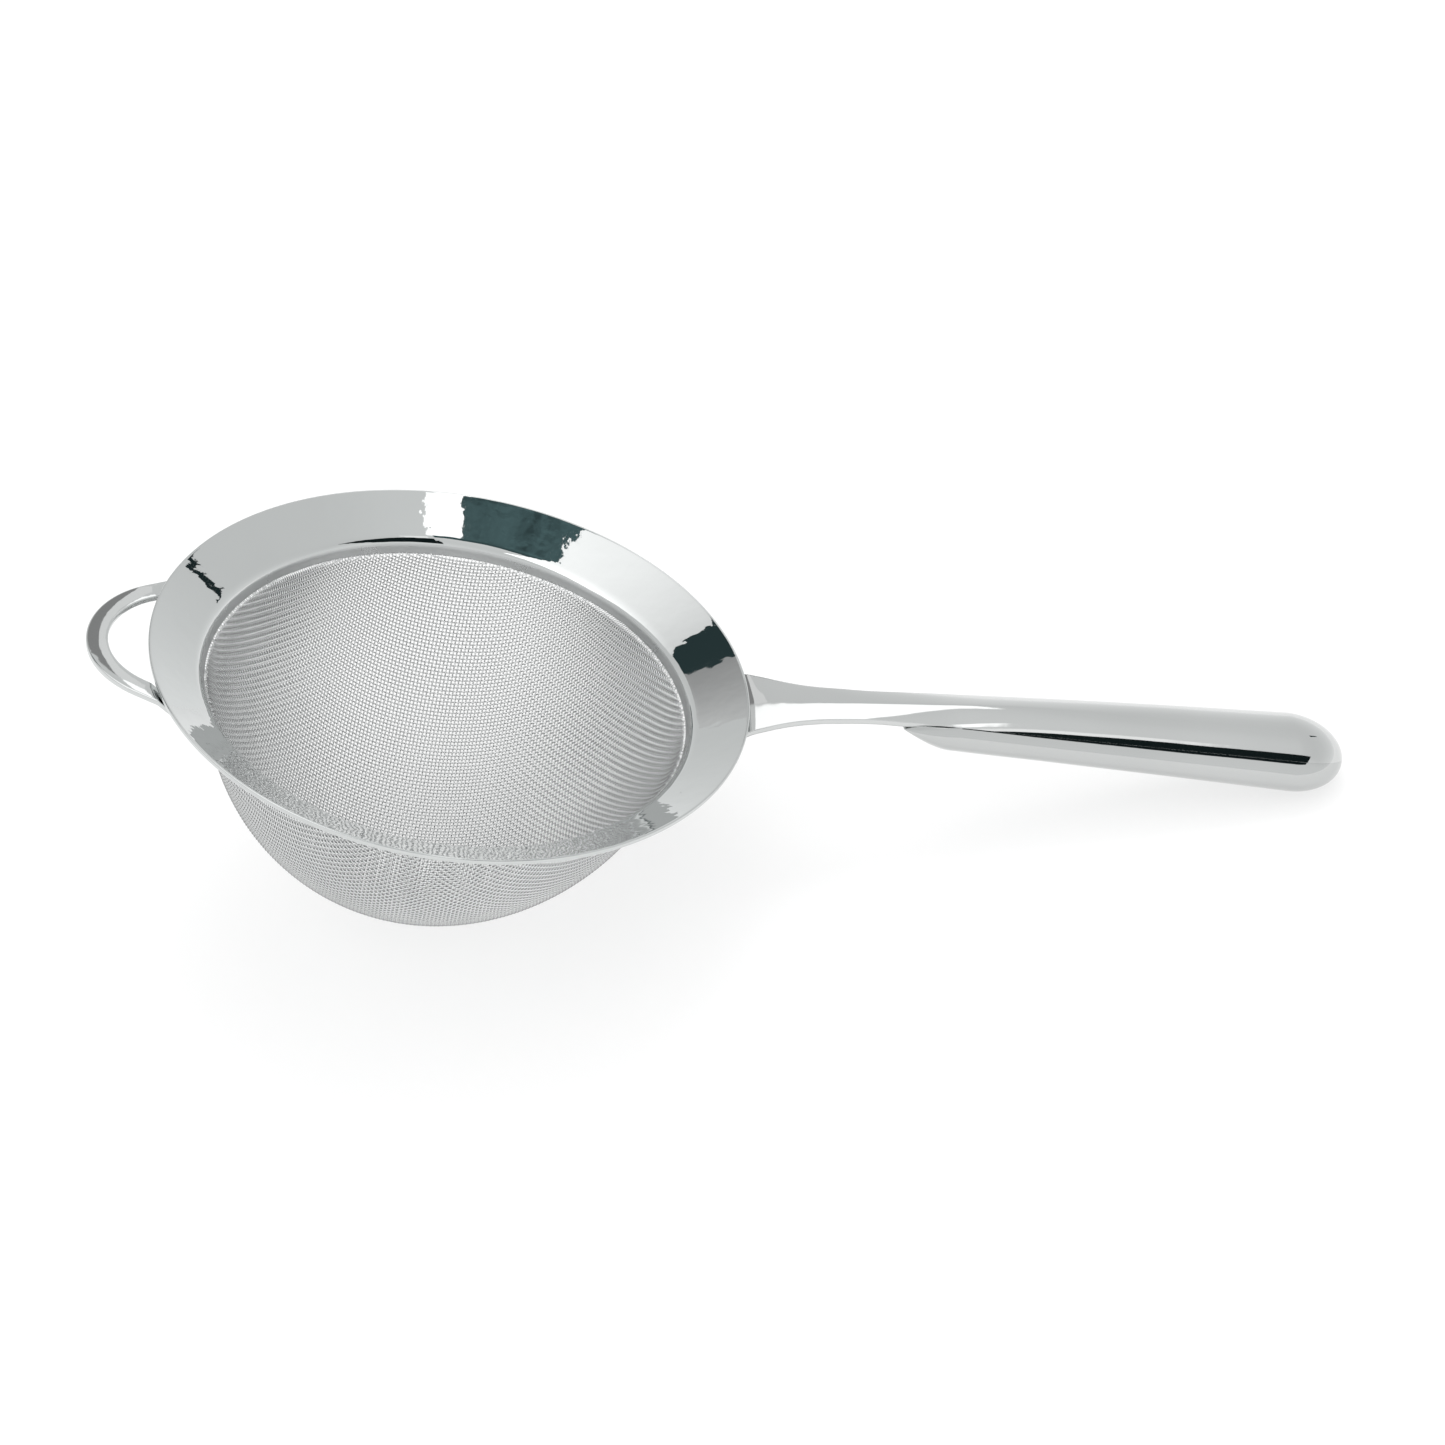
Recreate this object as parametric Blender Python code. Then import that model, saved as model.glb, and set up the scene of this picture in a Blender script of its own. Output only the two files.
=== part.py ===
"""Tea strainer of polished stainless steel, standing on the bottom of its gauze bowl and the end of its handle.

Everything is worked out in millimetres in the strainer's own frame: the circle of the rim lies in the plane
z = 0 round the origin, the handle runs along +x and the rest loop along -x. At the end the whole strainer is
tilted until the bowl and the handle end touch the floor together, and the numbers become metres.
"""

import math

import bmesh
import bpy
import numpy as np

MM = 0.001

rim_radius = 49.2
rim_inner_radius = 40.0
rim_drop = 4.9
rim_sheet = 0.9
collar_bottom = -7.0
collar_sheet = 0.5
collar_taper = 0.4
hem_bottom = -6.5
hem_sheet = 0.5
gap = 0.3

gauze_thickness = 0.5
bowl_top_radius = 39.5
bowl_wall_lean = math.radians(5.5)
bowl_wall_arc = 43.5
bowl_arc_change = math.radians(59.0)
bowl_shift = -2.3

loop_radius = 14.45
loop_centre_x = -42.8
loop_width = 3.5
loop_sheet = 1.0
loop_arc = math.radians(62.0)
loop_leg = 8.5

handle_sheet = 0.9
handle_cap_start = 143.0
handle_tip = 152.5
belly_start = 75.4
belly_full = 84.5
seam_angle = math.radians(35.0)
neck_flatness = 0.78
flat_until = 62.0
full_crown = 100.0
ridge_strength = 0.5
ridge_full = 80.0
ridge_gone = 122.0
ridge_softness = 0.05

rim_slope = rim_drop / (rim_radius - rim_inner_radius)
rim_sheet_upright = rim_sheet * math.hypot(1.0, rim_slope)

# Along the handle: distance from the rim centre, half width at the seam, crown height, seam height.
HANDLE_KNOTS = np.array(
    [
        (43.6, 9.4, -4.55, -5.1),
        (46.0, 9.0, -3.15, -3.7),
        (49.0, 7.9, -1.45, -2.05),
        (52.0, 6.85, -0.35, -1.6),
        (55.0, 5.8, 0.1, -1.35),
        (60.0, 4.65, 0.5, -0.95),
        (65.0, 4.2, 1.1, -0.3),
        (70.0, 3.95, 1.55, 0.15),
        (75.0, 4.1, 1.7, 0.25),
        (84.0, 4.55, 2.25, 0.43),
        (100.0, 5.3, 3.0, 1.12),
        (120.0, 6.05, 3.8, 1.69),
        (143.0, 6.8, 4.65, 2.29),
    ]
)


def clear_scene():
    for obj in list(bpy.data.objects):
        bpy.data.objects.remove(obj, do_unlink=True)


def steel(name, roughness):
    material = bpy.data.materials.new(name)
    material.use_nodes = True
    shader = material.node_tree.nodes["Principled BSDF"]
    shader.inputs["Base Color"].default_value = (0.62, 0.63, 0.63, 1.0)
    shader.inputs["Metallic"].default_value = 1.0
    shader.inputs["Roughness"].default_value = roughness
    return material


def smooth_between(x, column):
    """A smooth curve through one column of the handle's knots."""
    knots = HANDLE_KNOTS[:, 0]
    values = HANDLE_KNOTS[:, column]
    slopes = np.gradient(values, knots)
    i = int(np.clip(np.searchsorted(knots, x) - 1, 0, len(knots) - 2))
    step = knots[i + 1] - knots[i]
    u = (x - knots[i]) / step
    ahead = u * u * (3.0 - 2.0 * u)
    start = values[i] * (1.0 - ahead) + values[i + 1] * ahead
    bend = slopes[i] * u * (1.0 - u) ** 2 - slopes[i + 1] * u * u * (1.0 - u)
    return start + step * bend


def mesh_object(name, points, faces, material):
    """A closed smooth object from points in millimetres; corners that fall together become one."""
    mesh = bpy.data.meshes.new(name)
    mesh.from_pydata([tuple(p) for p in np.asarray(points)], [], faces)
    shape = bmesh.new()
    shape.from_mesh(mesh)
    bmesh.ops.remove_doubles(shape, verts=shape.verts, dist=1e-5)
    bmesh.ops.recalc_face_normals(shape, faces=shape.faces)
    for face in shape.faces:
        face.smooth = True
    for edge in shape.edges:
        edge.smooth = edge.calc_face_angle(0.0) < math.radians(40.0)
    shape.to_mesh(mesh)
    shape.free()
    obj = bpy.data.objects.new(name, mesh)
    bpy.context.scene.collection.objects.link(obj)
    mesh.materials.append(material)
    return obj


def grid_faces(rows, columns, first, closed_rows, closed_columns):
    faces = []
    for i in range(rows if closed_rows else rows - 1):
        for j in range(columns if closed_columns else columns - 1):
            a = first + i * columns + j
            b = first + i * columns + (j + 1) % columns
            c = first + ((i + 1) % rows) * columns + (j + 1) % columns
            d = first + ((i + 1) % rows) * columns + j
            faces.append((a, b, c, d))
    return faces


def revolve(name, profile, segments, material, slide=None):
    """Turns a closed profile of (radius, height) about the rim's axis. slide(height) moves each ring along x."""
    points = []
    for radius, height in profile:
        shift = slide(height) if slide else 0.0
        for k in range(segments):
            angle = 2.0 * math.pi * k / segments
            points.append((radius * math.cos(angle) + shift, radius * math.sin(angle), height))
    faces = grid_faces(len(profile), segments, 0, True, True)
    return mesh_object(name, points, faces, material)


def shell(name, outer, inner, material):
    """One closed body between two grids of points of the same size, joined round their borders."""
    rows, columns, _ = outer.shape
    count = rows * columns
    faces = grid_faces(rows, columns, 0, False, False) + grid_faces(rows, columns, count, False, False)
    border = [i * columns for i in range(rows)]
    border += [(rows - 1) * columns + j for j in range(1, columns)]
    border += [i * columns + columns - 1 for i in range(rows - 2, -1, -1)]
    border += list(range(columns - 2, 0, -1))
    for k, a in enumerate(border):
        b = border[(k + 1) % len(border)]
        faces.append((a, b, b + count, a + count))
    return mesh_object(name, np.concatenate([outer.reshape(-1, 3), inner.reshape(-1, 3)]), faces, material)


def rim_top(radius):
    """Height of the upper face of the flange."""
    return -(rim_radius - radius) * rim_slope


def rim_underside(radius):
    return rim_top(radius) - rim_sheet_upright


def hem_slot():
    """Inner and outer radius of the narrow slot, open downward, that grips the edge of the gauze."""
    inner = rim_inner_radius - collar_taper + collar_sheet
    return inner, inner + gauze_thickness + 2.0 * gap


def build_rim():
    """Pressed flange that falls inward to a short collar, its edge folded back outside to hold the gauze."""
    bend = 1.1
    collar_inner = rim_inner_radius - collar_taper
    slot_inner, slot_outer = hem_slot()
    hem_outer = slot_outer + hem_sheet
    slot_top = rim_underside(slot_outer) - 0.45
    profile = [
        (rim_radius - 0.45, rim_top(rim_radius - 0.45)),
        (rim_radius - 0.12, -0.06),
        (rim_radius, -0.3),
        (rim_radius, 0.2 - rim_sheet),
        (rim_radius - 0.2, -rim_sheet - 0.05),
        (hem_outer, rim_underside(hem_outer)),
        (hem_outer, hem_bottom),
        (slot_outer, hem_bottom),
        (slot_outer, slot_top),
        (slot_inner, slot_top),
        (slot_inner, collar_bottom),
        (collar_inner, collar_bottom),
        (rim_inner_radius - 0.1, rim_top(rim_inner_radius) - 0.9),
        (rim_inner_radius + 0.1, rim_top(rim_inner_radius) - 0.35),
        (rim_inner_radius + 0.5, rim_top(rim_inner_radius + 0.5) - 0.04),
        (rim_inner_radius + bend, rim_top(rim_inner_radius + bend)),
    ]
    return revolve("rim_flange", profile, 88, steel("polished_rim_steel", 0.08))


def bowl_profile(offset):
    """Half section of the bowl from under the collar to the pole, moved inward by offset.

    Two arcs that meet without a kink: a wide one for the wall and a tighter one for the bottom.
    """
    wall = np.linspace(bowl_wall_lean, bowl_arc_change, 9)
    radius = bowl_top_radius - bowl_wall_arc * (math.cos(bowl_wall_lean) - np.cos(wall))
    height = collar_bottom - bowl_wall_arc * (np.sin(wall) - math.sin(bowl_wall_lean))
    bottom_arc = radius[-1] / math.cos(bowl_arc_change)
    bottom = np.linspace(bowl_arc_change, math.pi / 2.0, 6)[1:]
    radius_bottom = bottom_arc * np.cos(bottom)
    height_bottom = height[-1] - bottom_arc * (np.sin(bottom) - math.sin(bowl_arc_change))
    radius = np.concatenate([radius, radius_bottom]) - offset * np.cos(np.concatenate([wall, bottom]))
    height = np.concatenate([height, height_bottom]) + offset * np.sin(np.concatenate([wall, bottom]))
    radius[-1] = 0.0
    return list(zip(radius, height))


def bowl_depth():
    return bowl_profile(0.0)[-1][1]


def build_bowl():
    """Stand-in for the woven gauze: a thin closed skin with its edge turned up into the hem."""
    edge_inner = hem_slot()[0] + gap
    edge_outer = edge_inner + gauze_thickness
    edge_top = -6.1
    outside = bowl_profile(0.0)[1:]
    inside = bowl_profile(gauze_thickness)[1:]
    profile = [(edge_outer, edge_top), (edge_outer, -7.55), *outside]
    profile += [*reversed(inside), (edge_inner, -7.35), (edge_inner, edge_top)]

    def slide(height):
        return bowl_shift * max(0.0, (height - collar_bottom) / (bowl_depth() - collar_bottom))

    return revolve("mesh_bowl", profile, 64, steel("stainless_gauze", 0.3), slide)


def loop_path():
    """Centre line of the loop's strip with its top height: one leg, the round end, the other leg."""
    end = (
        loop_centre_x - loop_radius * math.cos(loop_arc),
        loop_radius * math.sin(loop_arc),
    )
    along = (math.sin(loop_arc), math.cos(loop_arc))
    leg = [(end[0] + along[0] * s, end[1] + along[1] * s) for s in np.linspace(loop_leg, 0.0, 9)[:-1]]
    turn = [
        (loop_centre_x - loop_radius * math.cos(a), loop_radius * math.sin(a))
        for a in np.linspace(loop_arc, -loop_arc, 27)
    ]
    return np.array(leg + turn + [(x, -y) for x, y in reversed(leg)])


def build_loop():
    """Flat strip bent to a loop that rests on the far side of a cup; its legs dip under the flange."""
    path = loop_path()
    direction = np.gradient(path, axis=0)
    direction /= np.linalg.norm(direction, axis=1)[:, None]
    side = np.stack([-direction[:, 1], direction[:, 0]], axis=1)
    half = loop_width / 2.0
    soft = 0.15
    section = [
        (half, -soft),
        (half - soft, 0.0),
        (soft - half, 0.0),
        (-half, -soft),
        (-half, soft - loop_sheet),
        (soft - half, -loop_sheet),
        (half - soft, -loop_sheet),
        (half, soft - loop_sheet),
    ]
    points = []
    for place, across in zip(path, side):
        for offset, height in section:
            x, y = place + across * offset
            dip = max(0.0, rim_radius + 0.35 - math.hypot(x, y)) * rim_slope
            points.append((x, y, height - rim_sheet_upright - 0.25 - dip))
    count = len(section)
    faces = grid_faces(len(path), count, 0, False, True)
    faces.append(tuple(range(count)))
    faces.append(tuple(range(len(points) - count, len(points))))
    return mesh_object("rest_loop", points, faces, steel("polished_loop_steel", 0.08))


def handle_section(x, inset):
    """Half width, half height and centre height of the handle's oval, less the sheet's thickness."""
    end = handle_tip - inset
    place = min(x, handle_cap_start)
    half_width = smooth_between(place, 1) / math.cos(seam_angle)
    crown = smooth_between(place, 2)
    seam = smooth_between(place, 3)
    half_height = (crown - seam) / (1.0 - math.sin(seam_angle))
    centre = crown - half_height
    closing = 1.0
    if x > handle_cap_start:
        closing = math.sqrt(max(0.0, 1.0 - ((x - handle_cap_start) / (end - handle_cap_start)) ** 2))
    return (half_width - inset) * closing, (half_height - inset) * closing, centre


def handle_stations(start, inset, steps):
    """Places along the handle, closer together towards the round end."""
    body = np.linspace(start, handle_cap_start, steps)
    turn = np.linspace(0.0, math.pi / 2.0, 9)[1:]
    return np.concatenate([body, handle_cap_start + (handle_tip - inset - handle_cap_start) * np.sin(turn)])


def neck_share(x):
    """1 where the handle is a bare strip, falling to 0 where it has become a hollow grip."""
    return float(np.clip((belly_full - x) / (belly_full - belly_start), 0.0, 1.0))


def eased(value, start, end):
    """0 at start, 1 at end, and a smooth change between them."""
    share = min(max((value - start) / (end - start), 0.0), 1.0)
    return share * share * (3.0 - 2.0 * share)


def neck_rise(x, angle):
    """How far the flatter, ridged neck stands above (or below) the plain oval."""
    _, half_height, centre = handle_section(x, 0.0)
    seam = centre + half_height * math.sin(seam_angle)
    swell = half_height * (1.0 - math.sin(seam_angle))
    oval = centre + half_height * math.sin(angle) - seam
    across = math.cos(angle) / math.cos(seam_angle)
    deepest = math.hypot(1.0, ridge_softness) - ridge_softness
    fall = (math.hypot(across, ridge_softness) - ridge_softness) / deepest
    ridge = ridge_strength * eased(x, ridge_gone, ridge_full)
    shape = oval * (1.0 - ridge) + swell * (1.0 - fall) * ridge
    return shape * (1.0 - neck_flatness * eased(x, full_crown, flat_until)) - oval


def upper_grid(inset):
    """The neck and the crown of the grip: the part of each oval above the seam, flatter along the neck."""
    grid = []
    first, last = seam_angle, math.pi - seam_angle
    for x in handle_stations(HANDLE_KNOTS[0, 0], inset, 40):
        half_width, half_height, centre = handle_section(x, inset)
        fade = neck_share(x)
        half_width += inset * fade
        half_height += inset * fade
        row = []
        for angle in np.linspace(first, last, 13):
            y = half_width * math.cos(angle)
            z = centre + half_height * math.sin(angle) - inset * fade
            row.append((x, y, z + neck_rise(x, angle) + gap / 2.0))
        grid.append(row)
    return np.array(grid)


def build_handle_upper():
    return shell("handle_upper_shell", upper_grid(0.0), upper_grid(handle_sheet), steel("polished_neck_steel", 0.08))


def lower_grid(inset):
    """The belly under the grip: the part of each oval below the seam, its front drawn up to the neck."""
    grid = []
    start = belly_start + inset * 0.8
    for x in handle_stations(start, inset, 26):
        half_width, half_height, centre = handle_section(x, inset)
        outer_width, outer_height, _ = handle_section(x, 0.0)
        seam = centre + outer_height * math.sin(seam_angle)
        rise = 1.0
        if x < belly_full:
            u = (x - start) / (belly_full - start)
            rise = 0.14 + 0.86 * (1.0 - (1.0 - u) ** 1.7) ** 0.9
        row = []
        for angle in np.linspace(seam_angle, -math.pi - seam_angle, 20):
            y = half_width * math.cos(angle)
            z = centre + half_height * math.sin(angle)
            z = seam + (z - seam) * rise
            narrow = outer_width * math.cos(seam_angle) - inset
            limit = narrow + (half_width - narrow) * rise
            y = y * limit / half_width if half_width > 0.0 else 0.0
            row.append((x, y, z - gap / 2.0 - (handle_sheet + gap / 2.0) * neck_share(x)))
        grid.append(row)
    return np.array(grid)


def build_handle_lower():
    return shell("handle_lower_shell", lower_grid(0.0), lower_grid(handle_sheet), steel("polished_belly_steel", 0.08))


def lowest(obj, tilt):
    points = np.array([v.co for v in obj.data.vertices])
    return float((points[:, 2] * math.cos(tilt) - points[:, 0] * math.sin(tilt)).min())


def resting_tilt(bowl, belly):
    """The tilt at which the bottom of the bowl and the end of the handle are equally low."""
    low, high = 0.0, math.radians(40.0)
    for _ in range(50):
        tilt = (low + high) / 2.0
        if lowest(belly, tilt) > lowest(bowl, tilt):
            low = tilt
        else:
            high = tilt
    return tilt


def set_on_floor(objects, tilt):
    """Tilts every piece, stands the lowest point on z = 0, centres the length and width, and turns to metres."""
    turned = []
    for obj in objects:
        points = np.array([v.co for v in obj.data.vertices])
        x = points[:, 0] * math.cos(tilt) + points[:, 2] * math.sin(tilt)
        z = points[:, 2] * math.cos(tilt) - points[:, 0] * math.sin(tilt)
        turned.append(np.stack([x, points[:, 1], z], axis=1))
    everything = np.concatenate(turned)
    low, high = everything.min(axis=0), everything.max(axis=0)
    origin = np.array([(low[0] + high[0]) / 2.0, 0.0, low[2]])
    for obj, points in zip(objects, turned):
        obj.data.vertices.foreach_set("co", ((points - origin) * MM).astype(np.float32).ravel())
        obj.data.update()
    return origin


def main():
    clear_scene()
    rim = build_rim()
    bowl = build_bowl()
    loop = build_loop()
    upper = build_handle_upper()
    lower = build_handle_lower()
    tilt = resting_tilt(bowl, lower)
    origin = set_on_floor([rim, bowl, loop, upper, lower], tilt)
    print("resting tilt in degrees:", round(math.degrees(tilt), 3))
    print("rim centre above the floor in millimetres:", round(-float(origin[2]), 3))
    print("world x of the rim centre in millimetres:", round(-float(origin[0]), 3))


main()
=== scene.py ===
# %% [markdown]
# # A tea strainer of polished stainless steel
# The strainer catches tea leaves over a cup. A bowl of woven wire hangs in a wide pressed rim, a long
# hollow grip reaches out on one side, and a small strip loop on the other side rests on the cup's edge.
# Here it stands on the bottom of its bowl and the end of its grip, as it would on a worktop.
# The lesson builds each piece from its own measures, then the steels, then the studio round it.

# %% Load the measured frame
import math

import bmesh
import bpy
import numpy as np
from mathutils import Matrix, Vector


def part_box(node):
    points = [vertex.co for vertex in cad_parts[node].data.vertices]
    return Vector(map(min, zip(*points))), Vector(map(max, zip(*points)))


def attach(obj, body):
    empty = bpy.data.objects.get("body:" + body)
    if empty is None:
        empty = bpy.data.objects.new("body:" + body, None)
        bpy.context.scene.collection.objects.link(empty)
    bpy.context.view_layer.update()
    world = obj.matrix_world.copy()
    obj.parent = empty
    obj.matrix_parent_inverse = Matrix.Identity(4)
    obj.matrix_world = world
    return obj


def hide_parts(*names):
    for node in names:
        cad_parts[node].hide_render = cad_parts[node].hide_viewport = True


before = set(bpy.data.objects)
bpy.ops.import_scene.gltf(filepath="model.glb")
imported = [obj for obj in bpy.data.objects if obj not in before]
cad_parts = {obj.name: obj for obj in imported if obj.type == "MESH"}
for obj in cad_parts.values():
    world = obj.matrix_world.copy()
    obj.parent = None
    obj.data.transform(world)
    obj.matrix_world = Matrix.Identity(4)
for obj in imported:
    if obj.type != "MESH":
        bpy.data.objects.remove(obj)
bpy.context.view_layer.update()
print("pieces in the frame:", sorted(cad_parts))

# %% [markdown]
# ## Two frames of reference
# A strainer is easiest to draw level: the rim's circle lies flat, the grip runs along x, and one unit is a
# millimetre. On the table it leans a little, because the grip's end and the bowl both touch down. One
# helper turns level millimetres into leaning metres, so every piece below can be drawn the easy way.

# %% From the level drawing to the table
resting_tilt = math.radians(15.191)
rim_centre = np.array([-44.795, 0.0, 44.325])


def on_table(points):
    """Level points in millimetres, leaned over and set on the table, in metres."""
    level = np.asarray(points, dtype=float)
    x = level[..., 0] * math.cos(resting_tilt) + level[..., 2] * math.sin(resting_tilt)
    z = level[..., 2] * math.cos(resting_tilt) - level[..., 0] * math.sin(resting_tilt)
    return (np.stack([x, level[..., 1], z], axis=-1) + rim_centre) / 1000.0


rim_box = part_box("rim_flange")
print("highest point of the rim, mm:", round(rim_box[1].z * 1000.0, 2))

# %% [markdown]
# ## Meshes as rows of sections
# Nearly every metal part here is one outline carried along a path: the rim is a profile turned round, the
# loop a strip bent round, the grip an oval that changes size. So one helper takes rows of equal length and
# stitches them into quads. A second one rounds the corners of an outline, because real sheet edges are
# never sharp, and it is that tiny radius that catches a line of light.

# %% Stitch sections together and round their corners
same_point = 2e-7


def sections_to_mesh(name, sections, turn_closed=False, ends_capped=False):
    """A smooth object from sections of equal length, each one a closed outline."""
    sections = np.asarray(sections, dtype=float)
    rows, columns, _ = sections.shape
    faces = []
    for i in range(rows if turn_closed else rows - 1):
        following = (i + 1) % rows
        for j in range(columns):
            beside = (j + 1) % columns
            faces.append((i * columns + j, i * columns + beside,
                          following * columns + beside, following * columns + j))
    if ends_capped:
        faces.append(tuple(range(columns)))
        faces.append(tuple(range((rows - 1) * columns, rows * columns)))
    mesh = bpy.data.meshes.new(name)
    mesh.from_pydata(on_table(sections.reshape(-1, 3)).tolist(), [], faces)
    shape = bmesh.new()
    shape.from_mesh(mesh)
    bmesh.ops.remove_doubles(shape, verts=shape.verts, dist=same_point)
    bmesh.ops.recalc_face_normals(shape, faces=shape.faces)
    for face in shape.faces:
        face.smooth = True
    shape.to_mesh(mesh)
    shape.free()
    obj = bpy.data.objects.new(name, mesh)
    bpy.context.scene.collection.objects.link(obj)
    return obj


def rounded(outline, corners, radius, steps=4):
    """The closed outline with each numbered corner replaced by a small curve."""
    outline = np.asarray(outline, dtype=float)
    result = []
    for index, point in enumerate(outline):
        if index not in corners:
            result.append(point)
            continue
        back = outline[index - 1] - point
        ahead = outline[(index + 1) % len(outline)] - point
        start = point + back / max(np.linalg.norm(back), 1e-9) * radius
        end = point + ahead / max(np.linalg.norm(ahead), 1e-9) * radius
        for share in np.linspace(0.0, 1.0, steps):
            result.append(start * (1 - share) ** 2 + point * 2 * share * (1 - share) + end * share ** 2)
    return np.array(result)


def report(piece):
    """Prints how heavy a piece's mesh is."""
    print(piece.name, "faces:", len(piece.data.polygons))


# %% [markdown]
# ## The rim
# The rim is pressed from one disc of sheet. Its face falls inward like a shallow funnel, so that drips run
# back into the bowl, then it turns down into a short collar. The sheet is folded back on the outside of the
# collar to make a hem, which grips the cut edge of the gauze. A turned profile gives all of that at once.

# %% Draw the rim's profile
rim_radius = 49.2
rim_inner_radius = 40.0
rim_drop = 4.9
rim_sheet = 0.9
collar_bottom = -7.0
collar_radius = 39.6
slot_inner = 40.1
slot_outer = 41.2
hem_radius = 41.7
hem_bottom = -6.5
slot_top = -5.9
fold_softness = 0.16
lip_top_run = 0.5
lip_top_drop = 0.34
lip_under_run = 0.35
lip_under_rise = 0.28
nose_top = -6.6
nose_flare = 0.12
collar_top = -6.0
collar_flare = 0.3
bend_run = 1.5
rim_slope = rim_drop / (rim_radius - rim_inner_radius)
rim_sheet_upright = rim_sheet * math.hypot(1.0, rim_slope)


def rim_top(radius):
    """Height of the rim's face at a distance from its axis."""
    return -(rim_radius - radius) * rim_slope


def rim_underside(radius):
    """Height of the rim's underside at a distance from its axis."""
    return rim_top(radius) - rim_sheet_upright


def curve_between(start, control, end, steps):
    """Points of a smooth curve that leaves start and reaches end heading along the control point."""
    start, control, end = (np.array(p, dtype=float) for p in (start, control, end))
    shares = np.linspace(0.0, 1.0, steps)[:, None]
    return start * (1 - shares) ** 2 + control * 2 * shares * (1 - shares) + end * shares ** 2


def rim_profile():
    """Closed outline of (radius, height), clockwise from the lip down the underside and back over the top."""
    lip_start = rim_radius - lip_top_run
    lip_end = rim_radius - lip_under_run
    lip = curve_between((lip_start, rim_top(lip_start)), (rim_radius - 0.05, 0.0),
                        (rim_radius, -lip_top_drop), 6)
    lip_under = curve_between((rim_radius, lip_under_rise - rim_sheet), (rim_radius, -rim_sheet),
                              (lip_end, rim_underside(lip_end)), 5)
    under = [(r, rim_underside(r)) for r in np.linspace(rim_radius - 1.2, hem_radius + 0.5, 8)]
    fold = rounded([(hem_radius, rim_underside(hem_radius)), (hem_radius, hem_bottom),
                    (slot_outer, hem_bottom), (slot_outer, slot_top), (slot_inner, slot_top),
                    (slot_inner, collar_bottom), (collar_radius, collar_bottom),
                    (collar_radius + nose_flare, nose_top)], {1, 2, 5, 6}, fold_softness)
    bend_end = rim_inner_radius + bend_run
    bend = curve_between((collar_radius + collar_flare, collar_top),
                         (rim_inner_radius - 0.02, rim_top(rim_inner_radius)),
                         (bend_end, rim_top(bend_end)), 14)
    face = [(r, rim_top(r)) for r in np.linspace(rim_inner_radius + 1.9, rim_radius - 1.0, 14)]
    return np.concatenate([lip, lip_under, under, fold, bend, face])


profile = rim_profile()
print("points in the rim's profile:", len(profile))

# %% Turn the profile into the rim
rim_steps = 360


def turned(outline, steps):
    """The outline of (radius, height), repeated round the rim's axis."""
    angles = np.linspace(0.0, 2.0 * math.pi, steps, endpoint=False)
    radius, height = outline[:, 0], outline[:, 1]
    return np.stack([np.cos(angles)[:, None] * radius, np.sin(angles)[:, None] * radius,
                     np.broadcast_to(height, (steps, len(outline)))], axis=-1)


rim = sections_to_mesh("pressed_rim", turned(profile, rim_steps), turn_closed=True)
report(rim)

# %% [markdown]
# ## The rest loop
# A strip of thick sheet is bent into a round loop, and its two legs are welded under the rim. It only has
# to carry the strainer on a cup, so it is plain. Its path is an arc with a straight leg at each end, and its
# round end droops by a fraction of a millimetre.

# %% Bend the strip into the loop
loop_radius = 14.45
loop_centre_x = -42.8
loop_width = 3.5
loop_sheet = 1.0
loop_arc = math.radians(62.0)
loop_leg = 8.5
loop_droop = 0.3
loop_droop_run = 9.45
loop_dip_radius = rim_radius + 0.35
loop_gap = 0.25
loop_softness = 0.28
loop_arc_steps = 91
loop_leg_steps = 24


def loop_path():
    """Centre line: a leg, the round end, the other leg."""
    angles = np.linspace(loop_arc, -loop_arc, loop_arc_steps)
    turn = np.stack([loop_centre_x - loop_radius * np.cos(angles), loop_radius * np.sin(angles)], axis=1)
    along = np.array([math.sin(loop_arc), math.cos(loop_arc)])
    leg = turn[0] + along * np.linspace(loop_leg, 0.0, loop_leg_steps)[:-1, None]
    return np.concatenate([leg, turn, leg[::-1] * [1.0, -1.0]])


def loop_sections():
    """The strip's outline at each place along its path, dipping with the rim's underside above it."""
    path = loop_path()
    direction = np.gradient(path, axis=0)
    direction /= np.linalg.norm(direction, axis=1)[:, None]
    half = loop_width / 2.0
    outline = rounded([(half, 0.0), (0.0, 0.0), (-half, 0.0), (-half, -loop_sheet), (0.0, -loop_sheet),
                       (half, -loop_sheet)], {0, 2, 3, 5}, loop_softness, 5)
    sections = []
    for place, (ahead_x, ahead_y) in zip(path, direction):
        x = place[0] - ahead_y * outline[:, 0]
        y = place[1] + ahead_x * outline[:, 0]
        dip = np.maximum(0.0, loop_dip_radius - np.hypot(x, y)) * rim_slope
        droop = loop_droop * np.clip((-rim_radius - x) / loop_droop_run, 0.0, 1.0) ** 2
        height = outline[:, 1] - rim_sheet_upright - loop_gap - dip - droop
        sections.append(np.stack([x, y, height], axis=1))
    return sections


rest_loop = sections_to_mesh("rest_loop_strip", loop_sections(), ends_capped=True)
report(rest_loop)

# %% [markdown]
# ## The grip
# The grip is two pressed halves. The upper one starts as the flat neck under the rim and grows into the
# crown of the grip; the lower one is the belly that closes it underneath. They meet in a fine seam along
# each side, and the end is a round cap. Each cross-section is the upper or lower part of one oval whose
# width and height follow a smooth curve along the length. The neck itself is almost flat, with a faint
# ridge pressed along its middle to stiffen it. It swells into the full crown where the hollow grip begins.

# %% The oval along the grip
handle_sheet = 0.9
cap_start = 143.0
handle_tip = 152.5
belly_start = 75.4
belly_full = 84.5
seam_angle = math.radians(35.0)
seam_gap = 0.01
edge_step = 0.15
cap_stations = 28
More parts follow.
